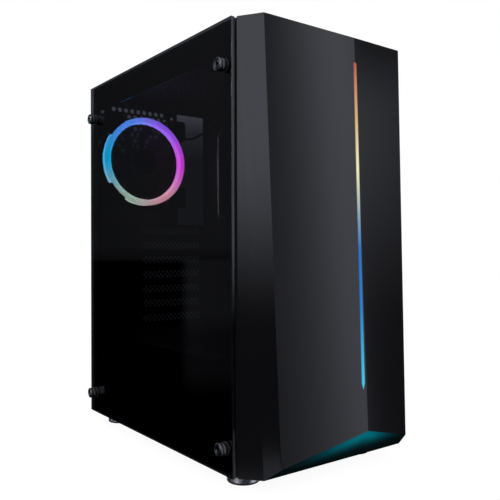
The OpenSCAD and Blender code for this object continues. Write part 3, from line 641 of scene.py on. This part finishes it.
def fan_wheel():
    """A cup-shaped hub, open at the back, with the blades round it."""
    profile = [[302.2, 0], [302.2, 15.2], [302.35, 16.6], [302.8, 17.9], [303.6, 18.7], [304.6, HUB_R],
               [318.2, HUB_R], [318.2, 17], [304.8, 17], [304.4, 16.6], [304.4, 0]]
    hub, hub_faces = turned(profile, 96)
    hub = placed(hub, np.zeros(3), (0, 1, 0), (0, 0, 1)) / MM
    points, faces = joined([(hub, hub_faces)] + [blade(k) for k in range(BLADES)])
    middle = np.array([FAN_AT[0], 0, FAN_AT[1]])
    piece("fan_rotor_moulded", (points + middle + CASE_ORIGIN) * MM, faces, "fan_wheel", "black_plastic",
          ["fan_rotor"])


fan_wheel()

# Colours of the ring, clockwise from the left as the fan is seen from the front of the case:
# sky blue, blue, violet, magenta, coral, green
RING_COLOURS = np.array([
    [0.0, 0.45, 0.75], [0.1, 0.3, 0.95], [0.3, 0.1, 0.8],
    [0.65, 0.05, 0.65], [0.7, 0.3, 0.35], [0.4, 0.55, 0.4]])


def round_blend(colours, share):
    """Colours spaced evenly round a closed loop, blended at each share of a full turn."""
    at = (share % 1) * len(colours)
    k = np.floor(at).astype(int)
    f = (at - k)[:, None]
    f = f * f * (3 - 2 * f)
    return colours[k % len(colours)] * (1 - f) + colours[(k + 1) % len(colours)] * f


def ring_colours(ring):
    """The light at each point of the ring. The bore's wall is the brightest, the front dims a little from
    the bore outwards, and the outer wall brightens and pales towards the back."""
    turn = np.arctan2(-ring[:, 2], ring[:, 1])
    deep = np.clip((ring[:, 0] - RING_Y[0]) / (RING_Y[1] - RING_Y[0]), 0, 1)
    across = np.clip((np.hypot(ring[:, 1], ring[:, 2]) - RING_R[0]) / (RING_R[1] - RING_R[0]), 0, 1)
    inner, outer = across < 0.1, across > 0.9
    gain = np.where(inner, 1.3, np.where(outer, 0.85 + 0.6 * deep, 1.12 - 0.2 * across))
    pale = np.where(inner, 0.04, np.where(outer, 0.08 * deep, 0.0))
    return round_blend(RING_COLOURS, 0.5 - turn / (2 * math.pi)) * gain[:, None] + pale[:, None]


def light_ring():
    (front, back), (bore, rim) = RING_Y, RING_R
    profile = rounded([[front, bore], [front, rim], [back, rim], [back, bore]], [1.6, 1.6, 0.4, 0.4], 5)
    ring, faces = turned(profile, 192, closed=True)
    points = placed(ring, case(FAN_AT[0], 0, FAN_AT[1]), (0, 1, 0), (1, 0, 0))
    piece("fan_light_ring_moulded", points, faces[:, ::-1], "chassis", "ring_light", ["fan_light_ring"],
          light=ring_colours(ring))


light_ring()


# ---------------------------------------------------------------- light strip

STRIP_X = 135.1
STRIP_LOW = 70.0
STRIP_HIGH = 397.0
STRIP_HALF = 2.2
STRIP_POINT = 6
# Colours of the strip by height: red, amber, pale yellow, slate, two blues and cyan
STRIP_COLOURS = np.array([
    [400, 0.45, 0.05, 0.05], [340, 0.7, 0.45, 0.2], [290, 0.9, 0.85, 0.5], [240, 0.2, 0.35, 0.45],
    [210, 0.0, 0.15, 0.55], [150, 0.0, 0.2, 0.6], [70, 0.05, 0.6, 0.85]])


def front_y(z):
    """Case Y of the leaning front at a height: it leans out by 12.9 from the roof down to the height of the
    bezel's lower left corner."""
    top_y, lean, corner_z = -22.4, 12.9, 12.6
    return top_y - (BODY_H - z) * lean / (BODY_H - corner_z)


def strip_shape():
    """A low dome drawn up the front, as a loop of points at each height, and the places w of a loop's front
    points, from -1 to 1 across it. The half width is the strip's, drawn in to a point at its foot and to a
    half circle at its top. The face starts 0.05 behind the front and bows out by 0.3 (1 - w^2)."""
    z = np.concatenate([
        np.linspace(STRIP_LOW, STRIP_LOW + STRIP_POINT, 9),
        np.linspace(STRIP_LOW + 2 * STRIP_POINT, STRIP_HIGH - 3, 60),
        STRIP_HIGH - STRIP_HALF * (1 - np.sin(np.linspace(0.1, math.pi / 2, 8)))])
    half = STRIP_HALF * np.clip((z - STRIP_LOW) / STRIP_POINT, 0, 1)
    top = np.clip((z - (STRIP_HIGH - STRIP_HALF)) / STRIP_HALF, 0, 1)
    half = (half * np.sqrt(1 - top ** 2))[:, None]
    plane = front_y(z)[:, None]
    w = np.linspace(-1, 1, 9)
    bow = 0.3 * (1 - w ** 2)
    front = np.stack([STRIP_X + half * w, plane + 0.05 - bow, z[:, None] + 0 * w], -1)
    back = front[:, ::-1].copy()
    back[..., 1] = plane + 3.2
    return np.concatenate([front, back], 1), w


def light_strip():
    """The strip, brightest along its middle and dim on its hidden back."""
    loops, w = strip_shape()
    height = loops[..., 2].ravel()
    stops = STRIP_COLOURS[::-1]
    colour = np.stack([np.interp(height, stops[:, 0], stops[:, k]) for k in (1, 2, 3)], -1)
    core = np.tile(np.concatenate([1.0 - 0.45 * w ** 2, np.full(len(w), 0.3)]), len(loops))
    piece("light_strip_moulded", (loops.reshape(-1, 3) + CASE_ORIGIN) * MM,
          grid_faces(*loops.shape[:2], round_columns=True), "bezel", "strip_light", ["light_diffuser"],
          light=colour * core[:, None])


light_strip()


# ---------------------------------------------------------------- fan lead

LEAD_ROUTE = np.array([
    (131.6, 304, 367), (136.2, 304, 367), (145.9, 302, 368), (158, 298, 375), (170, 294, 382),
    (177, 292, 386.5), (183.4, 292, 388), (189, 292, 386), (192, 290, 380), (193, 286, 368),
    (193, 280, 350), (193, 272, 325), (193, 264, 300), (193, 257, 275), (192.5, 252, 252),
    (192, 250, 236), (192, 250, 230)], float)
LEAD_R = 1.6


def smooth_path(route, steps):
    """Points on the Catmull-Rom curve through a route, evenly shared between its spans."""
    r = np.concatenate([[2 * route[0] - route[1]], route, [2 * route[-1] - route[-2]]])
    u = np.linspace(0, 1, steps, endpoint=False)[:, None]
    a, b, c, d = r[:-3, None], r[1:-2, None], r[2:-1, None], r[3:, None]
    bend, twist = 2 * a - 5 * b + 4 * c - d, 3 * b - a - 3 * c + d
    spans = 0.5 * (2 * b + (c - a) * u + bend * u ** 2 + twist * u ** 3)
    return np.concatenate([spans.reshape(-1, 3), route[-1:]])


def tube(path, radius, sides=14):
    """A round tube: each point of the path carries a ring square to it, spanned by two unit vectors, one of
    them square to the path and to a fixed slanting direction, and each end closes on its own centre."""
    way = np.gradient(path, axis=0)
    way /= np.linalg.norm(way, axis=1)[:, None]
    side = np.cross(way, [0.3, 1, 0.2])
    side /= np.linalg.norm(side, axis=1)[:, None]
    up = np.cross(way, side)
    a = np.arange(sides) * 2 * math.pi / sides
    rings = path[:, None] + radius * (np.cos(a)[:, None] * side[:, None] + np.sin(a)[:, None] * up[:, None])
    rings = np.concatenate([np.repeat(path[:1, None], sides, 1), rings, np.repeat(path[-1:, None], sides, 1)])
    return rings.reshape(-1, 3), grid_faces(len(rings), sides, round_columns=True)[:, ::-1]


def roof_lip_hem():
    """The rolled edge of the lip that hangs from the roof's left rail."""
    points, faces = tube(np.array([(8.9, y, 391.2) for y in np.linspace(14, 320, 40)]), 0.9, 10)
    piece("roof_lip_hem", (points + CASE_ORIGIN) * MM, faces, "chassis", "screw_black")


def fan_lead():
    points, faces = tube(smooth_path(LEAD_ROUTE, 12), LEAD_R)
    piece("fan_lead_sleeved", (points + CASE_ORIGIN) * MM, faces, "chassis", "lead_black", ["fan_cable"])


roof_lip_hem()
fan_lead()


# ---------------------------------------------------------------- floor and light

# Metres
FLOOR_R = 3
TENT_R = 30.0


def seen_directly(n):
    """1 for rays that come from the camera, a gloss or a glass, and 0 for the rest."""
    path = n.add("ShaderNodeLightPath")
    mirrored = n.math("MAXIMUM", path.outputs["Is Glossy Ray"], path.outputs["Is Transmission Ray"])
    return n.math("MAXIMUM", path.outputs["Is Camera Ray"], mirrored)


def studio_mesh(name, points, faces, material):
    """A mesh of the studio round the tower."""
    mesh = bpy.data.meshes.new(name)
    mesh.from_pydata(points.tolist(), [], faces)
    mesh.materials.append(material)
    obj = bpy.data.objects.new(name, mesh)
    bpy.context.scene.collection.objects.link(obj)
    return obj


def floor():
    """A pale floor that reads white and still darkens under the tower."""
    material, n = new_material("pale_floor")
    diffuse = n.add("ShaderNodeBsdfDiffuse", {}, Color=rgb(0.85, 0.85, 0.86))
    white = n.add("ShaderNodeEmission", {}, Color=rgb(1, 1, 1), Strength=1.1)
    shader = n.add("ShaderNodeMixShader", {}, i0=n.math("MULTIPLY", seen_directly(n), 0.86),
                   i1=diffuse.outputs[0], i2=white.outputs[0])
    n.tree.links.new(shader.outputs[0], n.add("ShaderNodeOutputMaterial").inputs[0])
    corners = 96
    angle = np.arange(corners) * 2 * math.pi / corners
    points = np.c_[FLOOR_R * np.cos(angle), FLOOR_R * np.sin(angle), np.zeros(corners)]
    obj = studio_mesh("floor", points, [list(range(corners))], material)
    obj.visible_glossy = False
    obj.visible_transmission = False


def step(n, value, low, high):
    """A smooth step from 0 at low to 1 at high."""
    node = n.add("ShaderNodeMapRange", {"interpolation_type": "SMOOTHSTEP"}, i0=value, i1=low, i2=high)
    return node.outputs[0]


def between(n, value, low, high, soft):
    """1 between low and high, falling off over a soft margin outside."""
    return n.math("MULTIPLY", step(n, value, low - soft, low + soft),
                  n.math("SUBTRACT", 1.0, step(n, value, high - soft, high + soft)))


def blend(n, share, a, b):
    """a where share is 0 and b where it is 1."""
    return n.math("ADD", n.math("MULTIPLY", a, n.math("SUBTRACT", 1.0, share)), n.math("MULTIPLY", b, share))


def front_light(n, turn, level):
    """A panel in front and to the right, which brightens to the right ever faster and a little upwards. Left
    of it is a band that is bright down to the horizon, and right of it a patch of light that is strongest
    14 degrees up and dims to the right."""
    along = n.math("MAXIMUM", n.math("SUBTRACT", turn, 39.7), -3.0)
    panel = n.math("ADD", n.math("MULTIPLY_ADD", level, 0.0018, 0.263),
                   n.math("MULTIPLY", along, n.math("MULTIPLY_ADD", level, 0.0027, 0.077)))
    ahead = n.math("MAXIMUM", along, 0.0)
    panel = n.math("MULTIPLY_ADD", n.math("MULTIPLY", ahead, ahead), 0.0115, panel)
    panel = n.math("MINIMUM", panel, 1.08)
    edge = n.math("MULTIPLY_ADD", 1.3, step(n, level, -8.5, 1.5), 0.04)
    panel = blend(n, step(n, turn, 36.0, 37.0), edge, panel)
    below_top = n.math("SUBTRACT", 1.0, step(n, level, 14.5, 22.5))
    patch = n.math("MULTIPLY", step(n, level, -5.0, 14.0), below_top)
    patch = n.math("MULTIPLY", n.math("MULTIPLY_ADD", patch, 0.42, 0.02),
                   n.math("MULTIPLY_ADD", turn, -0.13, 1 + 0.13 * 49.9))
    return blend(n, step(n, turn, 46.9, 48.0), panel, n.math("MAXIMUM", patch, 0.01))


def left_light(n, turn, level):
    """A soft light that fades down to below the horizon. From 80 degrees left onwards it reaches up to 1.6
    degrees lower, which evens out the shade of the bezel's folded left flank."""
    lower = n.math("ADD", level, n.remap(turn, -90.0, -80.0, 1.6, 0.0))
    return n.math("MULTIPLY", 1.38, step(n, lower, -6.5, 11.0))


def haze_behind(n, turn, level):
    """Faint haze above the horizon behind on the left, which reaches lower towards the front."""
    haze = n.math("MULTIPLY", n.remap(turn, -157.0, -146.0, 0.032, 0.075),
                  n.remap(level, 0.0, 1.0, 0.6, 1.0))
    low_haze = n.math("ADD", n.math("MULTIPLY", 0.035, step(n, level, -7.5, -5.0)),
                      n.math("MULTIPLY", 0.03, step(n, level, -13.0, -10.0)))
    low_haze = n.math("MULTIPLY", low_haze, step(n, turn, -149.6, -148.4))
    return blend(n, step(n, level, -0.45, -0.15), low_haze, haze)


def light_far_right(n, level):
    """What the openings of the back look out on: dim low down, and bright from 13 degrees up."""
    dim = n.remap(level, 8.7, 11.2, 0.06, 0.24)
    bright = n.remap(level, 11.2, 13.2, 0.0, 0.7)
    return n.math("ADD", dim, n.math("ADD", bright, n.remap(level, 1.0, 2.6, 0.06, 0.0)))


def with_foot_cards(n, turn, level, value):
    """The light so far, and from 19 degrees down two cards, left and right of the front, that the feet
    reflect. Between 25 and 35 degrees down it all fades to a twentieth."""
    cards = n.math("ADD", between(n, turn, -98.0, -66.0, 22.0), between(n, turn, 20.0, 56.0, 18.0))
    value = blend(n, step(n, level, -19.0, -19.8), value, n.math("MULTIPLY_ADD", cards, 0.6, 0.02))
    return n.math("MULTIPLY", value, n.remap(level, -35.0, -25.0, 0.05, 1.0))


def tent_cloth():
    """White cloth with zones in it. They are set in degrees of turn from the front, right being positive,
    and of level above the horizon, and each has a soft margin at its sides."""
    material, n = new_material("light_tent")
    place = n.add("ShaderNodeSeparateXYZ", {}, Vector=n.place())
    x, y, z = place.outputs
    turn = n.math("MULTIPLY", n.math("ARCTAN2", x, n.math("MULTIPLY", y, -1.0)), 180 / math.pi)
    level = n.math("MULTIPLY", n.math("ARCSINE", n.math("DIVIDE", z, TENT_R)), 180 / math.pi)
    front_left = step(n, level, -9.0, 3.0)
    zones = (
        (front_left, -50, 22, 6),
        (front_light(n, turn, level), 22, 62, 6),
        (left_light(n, turn, level), -118, -50, 6),
        (haze_behind(n, turn, level), -170, -124, 4),
        (light_far_right(n, level), 138, 162, 4))
    value = 1.0
    for zone, low, high, soft in zones:
        value = blend(n, between(n, turn, low, high, soft), value, zone)
    value = with_foot_cards(n, turn, level, value)
    cloth = n.add("ShaderNodeEmission", {}, Color=rgb(0.945, 0.975, 1.12), Strength=value)
    n.tree.links.new(cloth.outputs[0], n.add("ShaderNodeOutputMaterial").inputs[0])
    material.cycles.emission_sampling = "NONE"
    return material


def light_tent():
    """A round tent that only reflections and views through glass meet."""
    rows, columns = 65, 128
    up, around = np.meshgrid(np.linspace(-math.pi / 2, math.pi / 2, rows),
                             np.arange(columns) * 2 * math.pi / columns, indexing="ij")
    points = TENT_R * np.stack([np.cos(up) * np.cos(around), np.cos(up) * np.sin(around), np.sin(up)], -1)
    faces = grid_faces(rows, columns, round_columns=True).tolist()
    obj = studio_mesh("light_tent", points.reshape(-1, 3), faces, tent_cloth())
    for kind in ("camera", "diffuse", "shadow", "volume_scatter"):
        setattr(obj, "visible_" + kind, False)


def pale_world():
    """White where it is seen, and dimmer as a light."""
    world = bpy.data.worlds.new("studio")
    bpy.context.scene.world = world
    world.use_nodes = True
    world.node_tree.nodes.clear()
    n = Nodes(world.node_tree)
    strength = n.remap(seen_directly(n), 0, 1, 0.45, 1.0)
    sky = n.add("ShaderNodeBackground", {}, Color=rgb(1, 1, 1), Strength=strength)
    n.tree.links.new(sky.outputs[0], n.add("ShaderNodeOutputWorld").inputs[0])


def softbox(name, at, aim, size, watts, glints=False):
    """A rectangular lamp. Gloss reflects it only where glints is set."""
    lamp = bpy.data.lights.new(name, "AREA")
    lamp.shape = "RECTANGLE"
    lamp.size, lamp.size_y = size
    lamp.energy = watts
    obj = bpy.data.objects.new(name, lamp)
    obj.location = at
    obj.rotation_euler = (Vector(aim) - Vector(at)).to_track_quat("-Z", "Y").to_euler()
    obj.visible_glossy = glints
    bpy.context.scene.collection.objects.link(obj)


floor()
light_tent()
pale_world()
softbox("key", (-1.4, -1.9, 1.9), (0, 0, 0.2), (1.2, 1.2), 22)
softbox("fill", (1.9, -1.2, 1.4), (0, 0, 0.2), (1.2, 1.2), 10)
softbox("side_glint", (-1.80, 0.96, 1.0), (0, 0, 0.2), (0.25, 0.25), 3, glints=True)
softbox("back_glint", (-0.57, 2.12, 0.6), (0.08, 0.14, 0.33), (0.12, 0.45), 1.5, glints=True)
